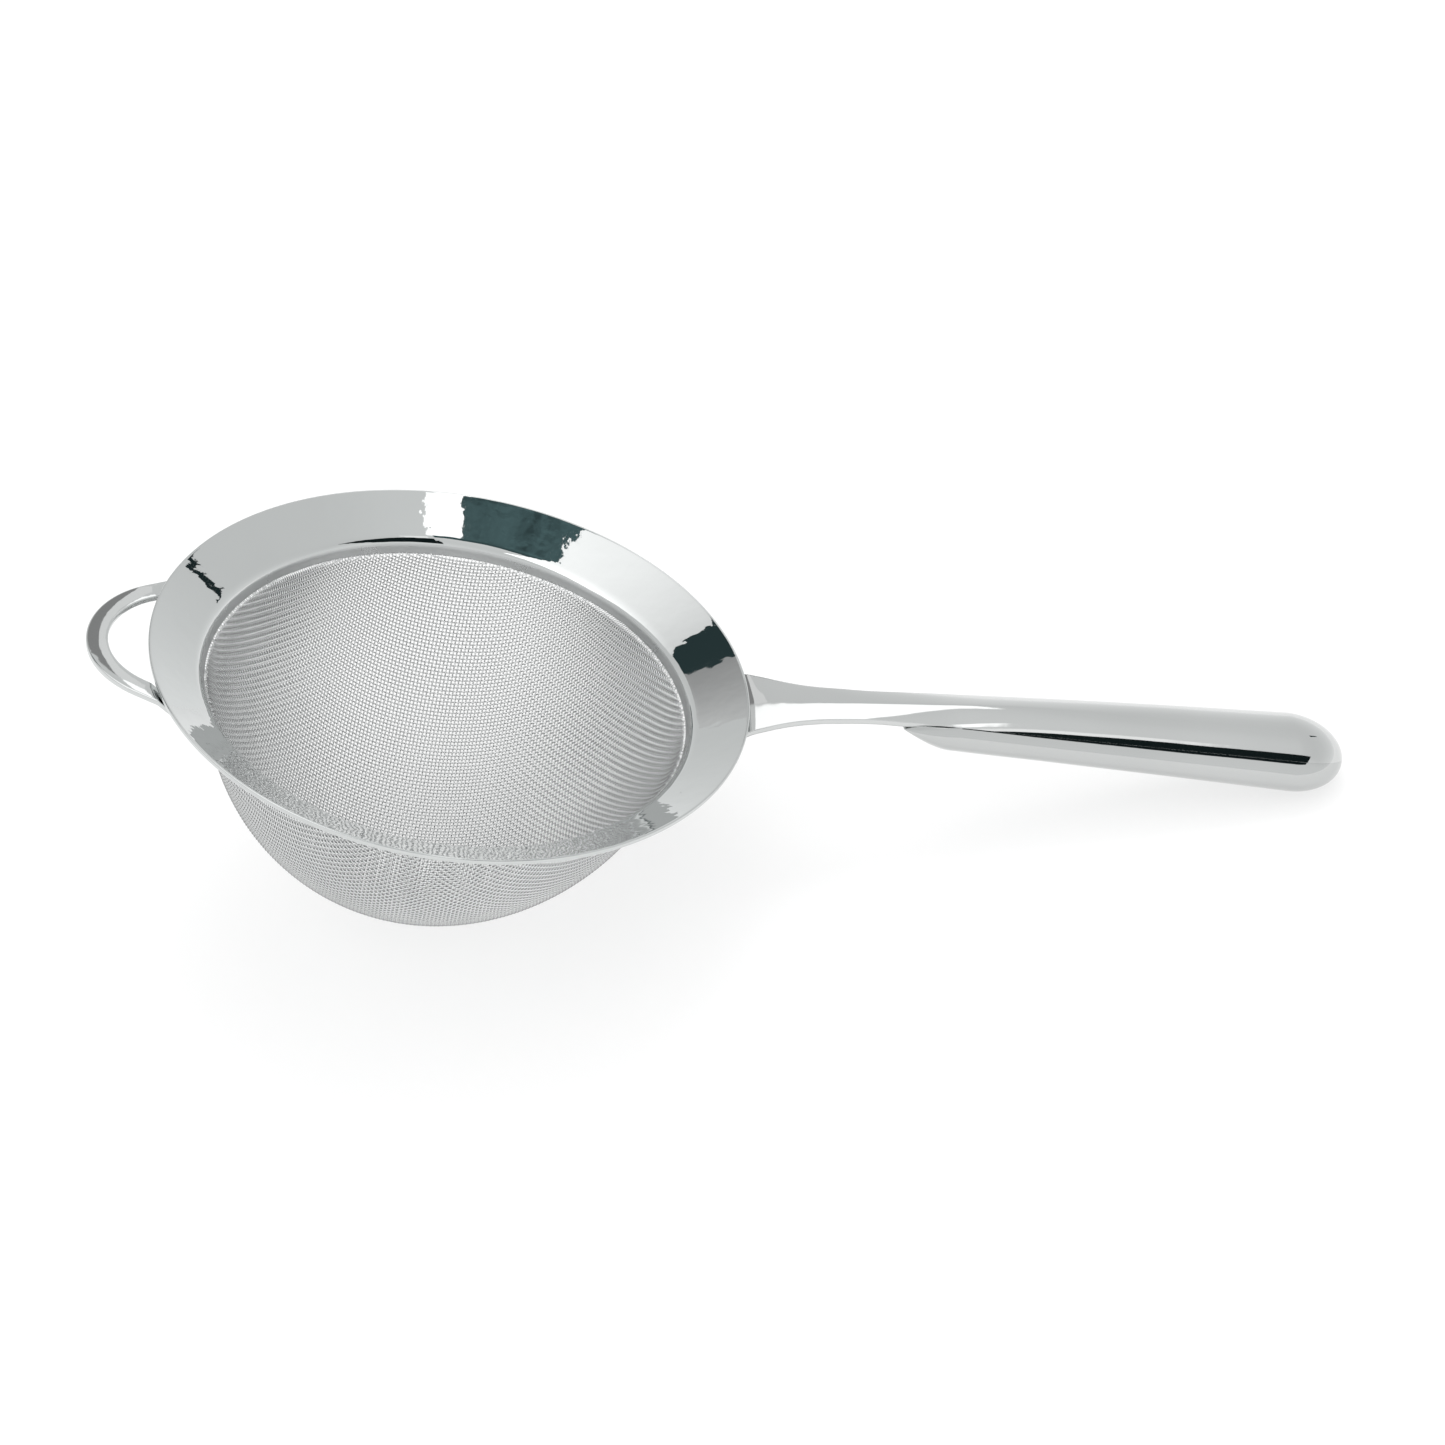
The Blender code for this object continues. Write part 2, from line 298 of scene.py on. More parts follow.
# Distance from the rim's centre, half width at the seam, crown height, seam height.
grip_measures = np.array([
    (43.6, 9.4, -4.55, -5.1), (46.0, 9.0, -3.15, -3.7), (49.0, 7.9, -1.45, -2.15),
    (52.0, 6.85, -0.38, -1.6), (55.0, 5.8, 0.12, -1.28), (60.0, 4.65, 0.64, -0.85),
    (65.0, 4.2, 1.08, -0.42), (70.0, 3.95, 1.46, -0.08), (75.0, 4.1, 1.79, 0.18),
    (84.0, 4.55, 2.3, 0.52), (100.0, 5.3, 3.02, 1.1), (120.0, 6.05, 3.8, 1.69),
    (143.0, 6.8, 4.65, 2.29),
])


def measure_at(x, column):
    """A smooth curve through one column of the grip's measures."""
    knots, values = grip_measures[:, 0], grip_measures[:, column]
    slopes = np.gradient(values, knots)
    i = np.clip(np.searchsorted(knots, x) - 1, 0, len(knots) - 2)
    step = knots[i + 1] - knots[i]
    u = (x - knots[i]) / step
    ahead = u * u * (3.0 - 2.0 * u)
    bend = slopes[i] * u * (1.0 - u) ** 2 - slopes[i + 1] * u * u * (1.0 - u)
    return values[i] * (1.0 - ahead) + values[i + 1] * ahead + step * bend


def oval_at(x, inset):
    """Half width, half height and centre height of the oval, less the sheet's thickness."""
    end = handle_tip - inset
    place = min(x, cap_start)
    crown, seam = measure_at(place, 2), measure_at(place, 3)
    half_height = (crown - seam) / (1.0 - math.sin(seam_angle))
    closing = 1.0
    if x > cap_start:
        closing = math.sqrt(max(0.0, 1.0 - ((x - cap_start) / (end - cap_start)) ** 2))
    half_width = measure_at(place, 1) / math.cos(seam_angle)
    return (half_width - inset) * closing, (half_height - inset) * closing, crown - half_height


def grip_stations(start, inset, steps):
    """Places along the grip, closer together towards the round end."""
    body = np.linspace(start, cap_start, steps)
    turn = np.linspace(0.0, math.pi / 2.0, cap_stations)[1:]
    return np.concatenate([body, cap_start + (handle_tip - inset - cap_start) * np.sin(turn)])


def along_arc(first, last, count):
    """Angles from first to last, with one more close to each end, where the pressed edge begins."""
    angles = np.linspace(first, last, count)
    step = (last - first) / (count - 1)
    return np.concatenate([angles[:1], angles[:1] + step * edge_step, angles[1:-1],
                           angles[-1:] - step * edge_step, angles[-1:]])


def neck_share(x):
    """1 where the grip is a bare strip, falling to 0 where it has become hollow."""
    return float(np.clip((belly_full - x) / (belly_full - belly_start), 0.0, 1.0))


print("grip, widest, mm:", round(2.0 * oval_at(cap_start, 0.0)[0], 1))

# %% The upper half: neck and crown
neck_flatness = 0.78
flat_until = 62.0
full_crown = 100.0
ridge_strength = 0.5
ridge_full = 80.0
ridge_gone = 122.0
ridge_softness = 0.05
seam_softness = 0.005
neck_softness = 0.18
crown_stations = 190
crown_points = 65


def eased(value, start, end):
    """0 at start, 1 at end, and a smooth change between them."""
    share = min(max((value - start) / (end - start), 0.0), 1.0)
    return share * share * (3.0 - 2.0 * share)


def neck_rise(x, angles):
    """How far the flatter, ridged neck stands above (or below) the plain oval at each angle."""
    _, half_height, centre = oval_at(x, 0.0)
    seam = centre + half_height * math.sin(seam_angle)
    swell = half_height * (1.0 - math.sin(seam_angle))
    oval = centre + half_height * np.sin(angles) - seam
    across = np.cos(angles) / math.cos(seam_angle)
    deepest = math.hypot(1.0, ridge_softness) - ridge_softness
    fall = (np.hypot(across, ridge_softness) - ridge_softness) / deepest
    ridge = ridge_strength * eased(x, ridge_gone, ridge_full)
    shape = oval * (1.0 - ridge) + swell * (1.0 - fall) * ridge
    return shape * (1.0 - neck_flatness * eased(x, full_crown, flat_until)) - oval


def upper_rows(inset):
    """Sections of the crown and neck, set in from the outer surface."""
    rows = []
    for x in grip_stations(grip_measures[0, 0], inset, crown_stations):
        half_width, half_height, centre = oval_at(x, inset)
        fade = inset * neck_share(x)
        angles = along_arc(seam_angle, math.pi - seam_angle, crown_points)
        y = (half_width + fade) * np.cos(angles)
        z = centre + (half_height + fade) * np.sin(angles) - fade + seam_gap / 2.0
        rows.append(np.stack([np.full_like(y, x), y, z + neck_rise(x, angles)], axis=1))
    return rows


def half_shell(name, outer, inner):
    """A pressed half with an even wall: outer rows, inner rows, and rounded edges between them."""
    sections = []
    for outside, inside in zip(outer, inner):
        outline = np.concatenate([outside, inside[::-1]])
        last = len(outside) - 1
        corners = {0, last, last + 1, len(outline) - 1}
        thickness = np.linalg.norm(outside[0] - inside[0])
        width = np.ptp(outside[:, 1])
        soft = seam_softness + (neck_softness - seam_softness) * neck_share(outside[0, 0])
        sections.append(rounded(outline, corners, min(soft, thickness * 0.3, width * 0.02), 4))
    return sections_to_mesh(name, sections, ends_capped=True)


grip_upper = half_shell("neck_and_crown", upper_rows(0.0), upper_rows(handle_sheet))
report(grip_upper)

# %% The lower half: belly
belly_front = 0.14
belly_steepness = 1.7
belly_fullness = 0.9
belly_tuck = 0.15
front_wall = 0.8
belly_stations = 130
belly_points = 81


def lower_rows(inset):
    """Sections of the belly, set in from the outer surface; its front edge rises to meet the neck."""
    rows = []
    start = belly_start + inset * front_wall
    for x in grip_stations(start, inset, belly_stations):
        half_width, half_height, centre = oval_at(x, inset)
        outer_width, outer_height, _ = oval_at(x, 0.0)
        seam = centre + outer_height * math.sin(seam_angle)
        rise = 1.0
        if x < belly_full:
            u = (x - start) / (belly_full - start)
            rise = belly_front + (1.0 - belly_front) * (1.0 - (1.0 - u) ** belly_steepness) ** belly_fullness
        angles = along_arc(seam_angle, -math.pi - seam_angle, belly_points)
        narrow = outer_width * math.cos(seam_angle) - inset
        limit = narrow + (half_width - narrow) * rise
        y = np.cos(angles) * (limit if half_width > 0.0 else 0.0)
        z = centre + half_height * np.sin(angles)
        z = seam + (z - seam) * rise - seam_gap / 2.0 - (handle_sheet + belly_tuck) * neck_share(x)
        rows.append(np.stack([np.full_like(y, x), y, z], axis=1))
    return rows


grip_lower = half_shell("belly_shell", lower_rows(0.0), lower_rows(handle_sheet))
report(grip_lower)

# %% [markdown]
# ## The bowl's shape
# The gauze is woven flat and then pressed over a former, so its wires keep their length and spacing, and
# only the angle between them changes. The former has a nearly upright wall, a wide arc, and a tighter
# round bottom. A signed distance to that shape lets a wire point be pulled onto it from anywhere. The wires'
# centre lines keep a little inside it, so that no wire's belly goes through the table.

# %% Distance to the bowl
wall_lean = math.radians(5.5)
arc_change = math.radians(59.0)
wall_arc = 43.5
bowl_top_radius = 39.5
bowl_lean_over = 2.3
wall_centre_radius = bowl_top_radius - wall_arc * math.cos(wall_lean)
wall_centre_height = collar_bottom + wall_arc * math.sin(wall_lean)
change_radius = wall_centre_radius + wall_arc * math.cos(arc_change)
change_height = wall_centre_height - wall_arc * math.sin(arc_change)
bottom_arc = change_radius / math.cos(arc_change)
bottom_centre = change_height + bottom_arc * math.sin(arc_change)
pole_height = bottom_centre - bottom_arc
wire_room = 0.27


def bowl_distance(points):
    """How far points lie outside the bowl, and the outward direction at each."""
    shift = bowl_lean_over * (points[:, 2] - collar_bottom) / (pole_height - collar_bottom)
    x, y, z = points[:, 0] + shift, points[:, 1], points[:, 2]
    across = np.hypot(x, y)
    from_bottom = np.hypot(across, z - bottom_centre)
    from_wall = np.hypot(across - wall_centre_radius, z - wall_centre_height)
    low = z < change_height
    distance = np.where(low, from_bottom - bottom_arc, from_wall - wall_arc) + wire_room
    outward = np.where(low, across / from_bottom, (across - wall_centre_radius) / from_wall)
    upward = np.where(low, (z - bottom_centre) / from_bottom, (z - wall_centre_height) / from_wall)
    safe = np.maximum(across, 1e-9)
    lean = outward * x / safe * bowl_lean_over / (pole_height - collar_bottom)
    normal = np.stack([outward * x / safe, outward * y / safe, upward + lean], axis=1)
    return distance, normal / np.linalg.norm(normal, axis=1)[:, None]


print("depth of the bowl below the collar, mm:", round(collar_bottom - pole_height, 1))

# %% [markdown]
# ## The net of crossings
# Where two sets of wires cross at an even pitch, each crossing is exactly one pitch from its neighbour on
# both wires. Two wires through the pole are laid first, straight along the surface. Every other crossing
# then follows from the three before it: one pitch from each of two neighbours, and on the bowl. That is
# how a tailor's net drapes, and it gives the shear of real pressed gauze, with diamonds on the diagonals.

# %% Lay the first wires and fill in the crossings
mesh_pitch = 0.64
warp_heading = math.radians(-4.0)
weave_angle = math.radians(86.0)
wires_each_side = 100
net_top = -5.2
least_spread = 0.1
close_enough = 1e-3
pulls = 3
corrections = 8


def straight_wire(heading):
    """Crossings along a wire from the pole, one pitch apart and straight along the surface."""
    place = np.array([[-bowl_lean_over, 0.0, pole_height + wire_room]])
    course = np.array([math.cos(heading), math.sin(heading), 0.0])
    wire = [place[0]]
    for _ in range(wires_each_side):
        normal = bowl_distance(place)[1][0]
        course -= normal * (course @ normal)
        course /= np.linalg.norm(course)
        ahead = place + course * mesh_pitch
        for _ in range(pulls):
            distance, normals = bowl_distance(ahead)
            ahead = ahead - distance[:, None] * normals
        step = ahead - place
        ahead = place + step * mesh_pitch / np.linalg.norm(step)
        course = (ahead - place)[0]
        place = ahead
        wire.append(place[0])
    return np.array(wire)


def next_crossings(first, second, corner):
    """The points one pitch from first and from second, on the bowl, and which of them exist."""
    place = first + second - corner
    exists = np.ones(len(place), dtype=bool)
    for _ in range(corrections):
        distance, normal = bowl_distance(place)
        from_first, from_second = place - first, place - second
        length_first = np.linalg.norm(from_first, axis=1)
        length_second = np.linalg.norm(from_second, axis=1)
        slopes = np.stack([from_first / length_first[:, None], from_second / length_second[:, None],
                           normal], axis=1)
        errors = np.stack([length_first - mesh_pitch, length_second - mesh_pitch, distance], axis=1)
        flat = np.abs(np.linalg.det(slopes)) < least_spread
        exists &= ~flat
        slopes[flat] = np.eye(3)
        step = np.linalg.solve(slopes, errors[..., None])[..., 0]
        place = place - np.clip(step, -mesh_pitch / 2.0, mesh_pitch / 2.0)
    return place, exists & (np.abs(errors).max(axis=1) < close_enough)


def weave_net():
    """Crossings by wire number in both directions; NaN where the gauze has ended."""
    middle = wires_each_side
    count = 2 * middle + 1
    net = np.full((count, count, 3), np.nan)
    net[middle:, middle] = straight_wire(warp_heading)
    net[middle, middle:] = straight_wire(warp_heading + weave_angle)
    net[middle::-1, middle] = straight_wire(warp_heading + math.pi)
    net[middle, middle::-1] = straight_wire(warp_heading + weave_angle + math.pi)
    for side_i, side_j in ((1, 1), (1, -1), (-1, 1), (-1, -1)):
        for ring in range(2, 2 * middle + 1):
            i = np.arange(max(1, ring - middle), min(middle, ring - 1) + 1)
            row, column = middle + side_i * i, middle + side_j * (ring - i)
            first, second = net[row - side_i, column], net[row, column - side_j]
            corner = net[row - side_i, column - side_j]
            known = np.isfinite(first + second + corner).all(axis=1)
            known &= (first[:, 2] < net_top) & (second[:, 2] < net_top)
            if not known.any():
                continue
            place, exists = next_crossings(first[known], second[known], corner[known])
            net[row[known][exists], column[known][exists]] = place[exists]
    return net


net = weave_net()
in_bowl = np.isfinite(net[..., 0])
print("crossings in the gauze:", int((in_bowl & (net[..., 2] < collar_bottom)).sum()))

# %% [markdown]
# ## The edge in the hem
# The cut edge of the gauze turns out behind the collar and goes up into the folded hem under the rim. Points
# above the collar's lower edge are pushed outward to the middle of the slot, and the wires end inside it.

# %% Turn the edge out into the hem
slot_middle = (slot_inner + slot_outer) / 2.0
edge_top = -6.15
turn_height = 0.3


def turned_out(points):
    """Points near the top, moved out to the slot in the hem."""
    height = points[..., 2]
    share = np.clip((height - collar_bottom) / turn_height, 0.0, 1.0)
    share = share * share * (3.0 - 2.0 * share)
    radius = np.hypot(points[..., 0], points[..., 1])
    grown = radius + (slot_middle - radius) * share
    result = points.copy()
    result[..., 0] *= grown / np.maximum(radius, 1e-9)
    result[..., 1] *= grown / np.maximum(radius, 1e-9)
    return result


flat_net = np.where(in_bowl[..., None], net, 0.0)
normals = np.full(net.shape, np.nan)
normals[in_bowl] = bowl_distance(flat_net[in_bowl])[1]
crossings = np.where(net[..., 2:] < edge_top, net, np.nan)
print("wires each way:", int(np.isfinite(crossings[..., 0]).any(axis=0).sum()))

# %% [markdown]
# ## Wires, over and under
# Each wire is drawn round, with five sides. At a crossing one wire passes over the other by its own
# thickness, and at the next one under, so the centre line waves in and out of the bowl's surface. The wires
# in one direction all wave the opposite way to those they cross, which is a plain weave. The wires of each
# direction are kept in a few bands, so that no mesh grows too heavy to edit.

# %% Draw the wires
wire_thickness = 0.25
wire_sides = 5
crossing_lift = 0.52
bands = 3


def wire_stations(nodes, outward, over):
    """Centre points and outward directions, two for each crossing, along axis 0."""
    raised = nodes + outward * (over * wire_thickness * crossing_lift)[..., None]
    between = (nodes[:-1] + nodes[1:]) / 2.0
    between_outward = outward[:-1] + outward[1:]
    stations = np.full((2 * len(nodes) - 1,) + nodes.shape[1:], np.nan)
    directions = stations.copy()
    stations[0::2], stations[1::2] = raised, between
    stations = turned_out(stations)
    directions[0::2], directions[1::2] = outward, between_outward
    return stations, directions / np.linalg.norm(directions, axis=-1, keepdims=True)


def wire_rings(stations, directions):
    """A ring of points round every station."""
    ahead = np.full_like(stations, np.nan)
    ahead[1:-1] = stations[2:] - stations[:-2]
    first_known = np.isfinite(stations[1:]) & ~np.isfinite(ahead[:-1])
    ahead[:-1] = np.where(first_known, stations[1:] - stations[:-1], ahead[:-1])
    last_known = np.isfinite(stations[:-1]) & ~np.isfinite(ahead[1:])
    ahead[1:] = np.where(last_known, stations[1:] - stations[:-1], ahead[1:])
    ahead /= np.linalg.norm(ahead, axis=-1, keepdims=True)
    side = np.cross(ahead, directions)
    side /= np.linalg.norm(side, axis=-1, keepdims=True)
    up = np.cross(side, ahead)
    angles = np.linspace(0.0, 2.0 * math.pi, wire_sides, endpoint=False)
    circle = np.cos(angles)[:, None] * up[..., None, :] + np.sin(angles)[:, None] * side[..., None, :]
    return stations[..., None, :] + circle * wire_thickness / 2.0


def wires_to_mesh(name, rings):
    """One mesh of many wires: rings by station, then wire; closed at both ends of every wire."""
    known = np.isfinite(rings).all(axis=(2, 3))
    numbers = np.full(known.shape, -1)
    numbers[known] = np.arange(known.sum())
    joined = known[:-1] & known[1:]
    start, end = numbers[:-1][joined], numbers[1:][joined]
    here = np.arange(wire_sides)
    beside = (here + 1) % wire_sides
    quads = np.stack([start[:, None] * wire_sides + here, start[:, None] * wire_sides + beside,
                      end[:, None] * wire_sides + beside, end[:, None] * wire_sides + here], axis=-1)
    quads = quads.reshape(-1, 4)
    padded = np.pad(known, ((1, 1), (0, 0)))
    first = numbers[known & ~padded[:-2]][:, None] * wire_sides + here[::-1]
    last = numbers[known & ~padded[2:]][:, None] * wire_sides + here
    caps = np.concatenate([first, last])
    mesh = bpy.data.meshes.new(name)
    places = on_table(rings[known].reshape(-1, 3)).astype(np.float32)
    mesh.vertices.add(len(places))
    mesh.vertices.foreach_set("co", places.ravel())
    corners = np.concatenate([quads.ravel(), caps.ravel()]).astype(np.int32)
    starts = np.concatenate([np.arange(len(quads)) * 4,
                             len(quads) * 4 + np.arange(len(caps)) * wire_sides]).astype(np.int32)
    mesh.loops.add(len(corners))
    mesh.loops.foreach_set("vertex_index", corners)
    mesh.polygons.add(len(starts))
    mesh.polygons.foreach_set("loop_start", starts)
    mesh.polygons.foreach_set("use_smooth", np.ones(len(starts), dtype=bool))
    mesh.update(calc_edges=True)
    obj = bpy.data.objects.new(name, mesh)
    bpy.context.scene.collection.objects.link(obj)
    return obj


# %% Weave both directions
def weave_direction(name, nodes, outward, over):
    """The wires that run along axis 0, in bands of neighbouring wires with about as many crossings each."""
    rings = wire_rings(*wire_stations(nodes, outward, over))
    rings[np.isnan(rings).any(axis=(2, 3))] = np.nan
    weight = np.cumsum(np.isfinite(nodes[..., 0]).sum(axis=0))
    pieces = []
    for band in range(bands):
        low, high = weight[-1] * band / bands, weight[-1] * (band + 1) / bands
        chosen = (weight > low) & (weight <= high)
        pieces.append(wires_to_mesh(f"{name}_wires_{band + 1}", rings[:, chosen]))
    return pieces


rows, columns = np.indices(crossings.shape[:2])
over = np.where((rows + columns) % 2 == 0, 1.0, -1.0)
warp = weave_direction("warp", crossings, normals, over)
weft = weave_direction("weft", crossings.transpose(1, 0, 2), normals.transpose(1, 0, 2), -over.T)
for piece in warp + weft:
    report(piece)

# %% [markdown]
# ## Polished steel
# Stainless steel is a mirror with a slightly cool grey tint. What makes it look real is how little it is
# perfect: the pressed sheet rolls gently, and the polishing wheel leaves a faint haze that comes and goes.
# So the roughness wanders a little between two low values, and a shallow bump bends the reflections.

# %% Mix a polished steel
pit_radius = 0.16
pit_depth = 0.04
tint_scale = 40.0
haze_scale = 160.0
# How much of its range a noise pattern usually crosses in one wave.
noise_swing = 0.7


def noise(tree, place, scale, detail=2.0):
    """A noise pattern in the piece's own space, scale in waves per metre."""
    texture = tree.nodes.new("ShaderNodeTexNoise")
    texture.inputs["Scale"].default_value = scale
    texture.inputs["Detail"].default_value = detail
    tree.links.new(place.outputs["Object"], texture.inputs["Vector"])
    return texture


def spread(tree, texture, low, high):
    """The texture's grey value, mostly between 0.3 and 0.7, moved into the range low to high."""
    spreader = tree.nodes.new("ShaderNodeMapRange")
    spreader.inputs["From Min"].default_value = 0.3
    spreader.inputs["From Max"].default_value = 0.7
    spreader.inputs["To Min"].default_value = low
    spreader.inputs["To Max"].default_value = high
    tree.links.new(texture.outputs["Fac"], spreader.inputs["Value"])
    return spreader


def tint(tree, texture, dark, light):
    """A colour that wanders between two steels."""
    mixer = tree.nodes.new("ShaderNodeMix")
    mixer.data_type = "RGBA"
    mixer.inputs["A"].default_value = (*dark, 1.0)
    mixer.inputs["B"].default_value = (*light, 1.0)
    tree.links.new(spread(tree, texture, 0.0, 1.0).outputs["Result"], mixer.inputs["Factor"])
    return mixer


def pitted(tree, place, spacing):
    """Tiny pits that the polishing wheel left, about spacing millimetres apart."""
    cells = tree.nodes.new("ShaderNodeTexVoronoi")
    cells.inputs["Scale"].default_value = 1000.0 / spacing
    tree.links.new(place.outputs["Object"], cells.inputs["Vector"])
    hollow = tree.nodes.new("ShaderNodeMapRange")
    hollow.inputs["From Max"].default_value = pit_radius / spacing
    tree.links.new(cells.outputs["Distance"], hollow.inputs["Value"])
    bump = tree.nodes.new("ShaderNodeBump")
    bump.inputs["Distance"].default_value = pit_depth / 1000.0
    tree.links.new(hollow.outputs["Result"], bump.inputs["Height"])
    return bump.outputs["Normal"]


def wavy(tree, place, shader, waves, normal):
    """Tips the surface gently: each wave is its size in millimetres and how many degrees it leans."""
    for size, lean in waves:
        bump = tree.nodes.new("ShaderNodeBump")
        rise = math.tan(math.radians(lean)) * size / noise_swing
        bump.inputs["Distance"].default_value = rise / 1000.0
        height = noise(tree, place, 1000.0 / size, 1.0)
        tree.links.new(height.outputs["Fac"], bump.inputs["Height"])
        if normal:
            tree.links.new(normal, bump.inputs["Normal"])
        normal = bump.outputs["Normal"]
    tree.links.new(normal, shader.inputs["Normal"])


def painted_edge_shade(tree, colour, depth):
    """Painted shade: the colour, falling off by depth where a surface turns edge-on to the viewer."""
    turn = tree.nodes.new("ShaderNodeLayerWeight")
    turn.inputs["Blend"].default_value = 0.5
    keep = tree.nodes.new("ShaderNodeMapRange")
    keep.inputs["From Min"].default_value = 0.15
    keep.inputs["From Max"].default_value = 0.75
    keep.inputs["To Min"].default_value = 1.0
    keep.inputs["To Max"].default_value = 1.0 - depth
    tree.links.new(turn.outputs["Facing"], keep.inputs["Value"])
    scale = tree.nodes.new("ShaderNodeVectorMath")
    scale.operation = "SCALE"
    tree.links.new(colour, scale.inputs[0])
    tree.links.new(keep.outputs["Result"], scale.inputs["Scale"])
    return scale.outputs["Vector"]


def polished_steel(name, dark, light, haze, waves, pits=None, painted_shade_depth=0.0):
    """A mirror steel: haze is the range of roughness, waves are the sheet's own unevenness.

    Pits are set by their spacing, and the last argument sets how far painted shade darkens the colour where
    the surface is seen edge-on.
    """
    material = bpy.data.materials.new(name)
    material.use_nodes = True
    tree = material.node_tree
    shader = tree.nodes["Principled BSDF"]
    shader.inputs["Metallic"].default_value = 1.0
    place = tree.nodes.new("ShaderNodeTexCoord")
    colour = tint(tree, noise(tree, place, tint_scale), dark, light).outputs["Result"]
    # Painted shade: the colour is darkened where the surface is seen edge-on.
    if painted_shade_depth:
        colour = painted_edge_shade(tree, colour, painted_shade_depth)
    tree.links.new(colour, shader.inputs["Base Color"])
    roughness = spread(tree, noise(tree, place, haze_scale, 4.0), *haze)
    tree.links.new(roughness.outputs["Result"], shader.inputs["Roughness"])
    if waves:
        wavy(tree, place, shader, waves, pitted(tree, place, pits) if pits else None)
    return material


rim_steel = polished_steel("polished_rim_steel", (0.605, 0.62, 0.617), (0.63, 0.645, 0.642), (0.015, 0.035),
                           [(9.0, 0.25), (2.4, 0.36), (0.7, 0.13)], pits=4.0)
collar_steel = polished_steel("satin_collar_steel", (0.53, 0.54, 0.54), (0.57, 0.58, 0.58), (0.26, 0.36),
                              [(2.0, 0.5)])
loop_steel = polished_steel("polished_loop_steel", (0.60, 0.615, 0.612), (0.64, 0.655, 0.652), (0.03, 0.06),
                            [(9.0, 0.35), (2.0, 0.2)])
neck_steel = polished_steel("polished_neck_steel", (0.605, 0.615, 0.612), (0.635, 0.645, 0.642), (0.03, 0.06),
                            [(14.0, 0.25), (2.5, 0.08)])
# The belly's steel is the neck's, made darker: painted shade on the grip's underside.
belly_steel = polished_steel("polished_belly_steel", (0.53, 0.54, 0.537), (0.56, 0.57, 0.567), (0.03, 0.06),
                             [(14.0, 0.25), (2.5, 0.08)])
# The wire's colour gets painted shade where each wire turns edge-on.
painted_shade_wire_steel = polished_steel("stainless_wire_painted_shade", (0.80, 0.81, 0.81), (0.88, 0.89, 0.89), (0.10, 0.18), [],
                            painted_shade_depth=0.75)
steels = [rim_steel, collar_steel, loop_steel, neck_steel, belly_steel, painted_shade_wire_steel]
print("steels:", [steel.name for steel in steels])

# %% [markdown]
# ## A duller collar
# The polishing wheel reaches the rim's open face but not the short collar inside it, nor the fold behind it.
# Those faces of the same piece get the satin steel, chosen by where they lie.

# %% Give the collar its own finish
satin_reach = hem_radius + 0.1
satin_top = -5.25
rim.data.materials.append(rim_steel)
rim.data.materials.append(collar_steel)
level_origin = on_table([0.0, 0.0, 0.0])
level_up = (on_table([0.0, 0.0, 1.0]) - level_origin) * 1000.0
satin_faces = 0
for face in rim.data.polygons:
    arm = np.array(face.center) - level_origin
    height = arm @ level_up * 1000.0
    radius = np.linalg.norm(arm - level_up * (arm @ level_up)) * 1000.0
    if radius < satin_reach and height < satin_top:
        face.material_index = 1
        satin_faces += 1
print("satin faces on the rim:", satin_faces)

# %% [markdown]
# ## Each piece takes its place
# Every piece stands for one part of the measured frame and moves with it. The strainer has no joints, so
# they all ride on the one root body. The six bands of wire together stand for the gauze bowl.

# %% Hand the pieces to the frame
finishes = [
    (rim, "rim_flange", "polished_rim", None),
    (rest_loop, "rest_loop", "polished_loop", loop_steel),
    (grip_upper, "handle_upper_shell", "polished_neck", neck_steel),
    (grip_lower, "handle_lower_shell", "polished_belly", belly_steel),
]
finishes += [(piece, "mesh_bowl", "wire_gauze", painted_shade_wire_steel) for piece in warp + weft]
for piece, node, slot, material in finishes:
    if material:
        piece.data.materials.append(material)
    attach(piece, "root")
    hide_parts(node)
    print(piece.name, "stands for", node)

# %% [markdown]
# ## The studio floor
# The strainer stands on a light table: a wide sheet of milky acrylic that is lit from beneath as well as
# from above. Most of its white is its own light, so only faint shadows say that there is a floor at all.

# %% Floor
def flat_card(name, corners, material):
    """A flat four-cornered card that belongs to the studio."""
    mesh = bpy.data.meshes.new(name)
    mesh.from_pydata(corners, [], [(0, 1, 2, 3)])
    mesh.materials.append(material)
    card = bpy.data.objects.new(name, mesh)
    bpy.context.scene.collection.objects.link(card)
    return card


def floor_white():
    """Milky white that gives off most of its own light and takes a faint shadow."""
    material = bpy.data.materials.new("white_floor")
    material.use_nodes = True
    tree = material.node_tree
    shader = tree.nodes["Principled BSDF"]
    shader.inputs["Roughness"].default_value = 0.7
    shader.inputs["Specular IOR Level"].default_value = 0.1
    place = tree.nodes.new("ShaderNodeTexCoord")
    colour = tint(tree, noise(tree, place, 6.0), (0.33, 0.33, 0.33), (0.35, 0.35, 0.35))
    tree.links.new(colour.outputs["Result"], shader.inputs["Base Color"])
    shader.inputs["Emission Color"].default_value = (1.0, 1.0, 1.0, 1.0)
    shader.inputs["Emission Strength"].default_value = 0.67
    return material


floor_reach = 4.0
floor = flat_card("studio_floor", [(-floor_reach, -floor_reach, 0.0), (floor_reach, -floor_reach, 0.0),
                                   (floor_reach, floor_reach, 0.0), (-floor_reach, floor_reach, 0.0)],
                  floor_white())
print("floor, m across:", 2.0 * floor_reach)

# %% [markdown]
# ## Soft light
# A small soft lamp hangs above and a little behind, so shadows fall short and towards the viewer. A much
# wider one higher up, and pale air all round, fill them. The air is brightest at the horizon and a soft grey
# halfway up, which gives the steel its calm gradients. The lamps themselves are kept out of reflections,
# since the cards that come next are what the steel shows.

# %% Lamps and air
air_coolness = 1.01


